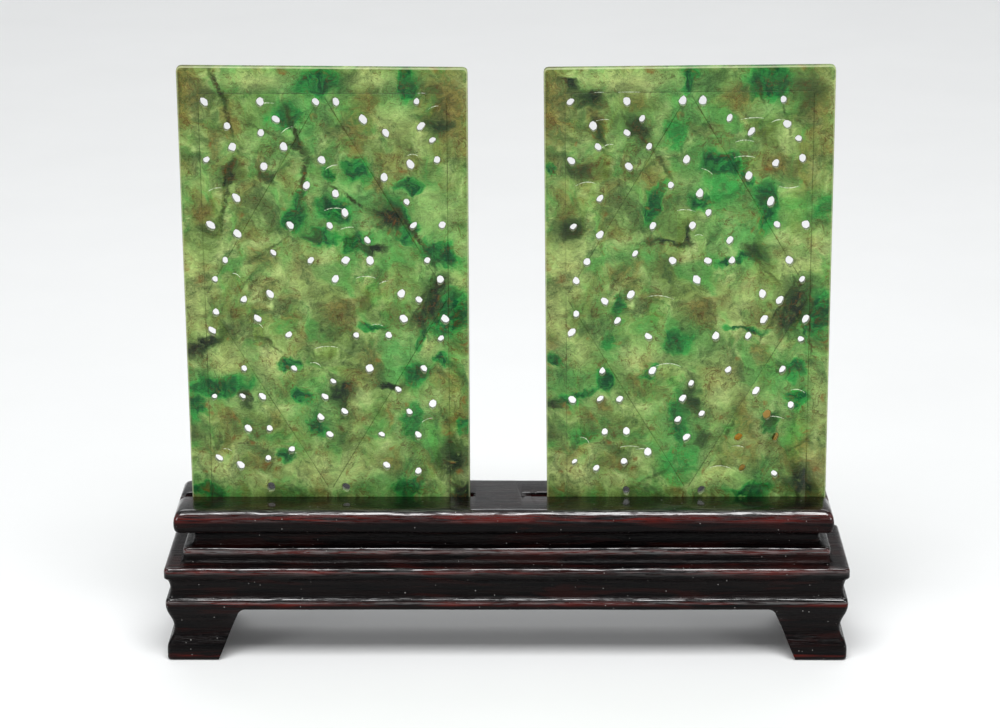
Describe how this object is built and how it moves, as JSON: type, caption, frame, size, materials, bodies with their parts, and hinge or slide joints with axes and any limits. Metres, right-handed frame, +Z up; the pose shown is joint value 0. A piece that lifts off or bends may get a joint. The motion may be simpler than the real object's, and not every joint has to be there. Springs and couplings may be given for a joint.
{
  "type": "jade plaque",
  "caption": "Pierced rectangular jade plaques, standing upright in the slots of a low moulded hardwood stand with end feet.",
  "frame": {"origin": "on the surface it stands on, under the middle of the stand", "axes": "+X along the stand, to the right as the front sees it; -Y towards the front; +Z up"},
  "size_m": [0.1586, 0.0286, 0.1384],
  "materials": {
    "jade": "polished jade, pale yellow-green clouded with emerald, brown and near-black veins",
    "hardwood": "near-black red-brown lacquered hardwood, glossy, worn to dark red along its ridges"
  },
  "bodies": {
    "root": {"plaque_left": "jade", "plaque_right": "jade", "stand": "hardwood"}
  },
  "joints": []
}
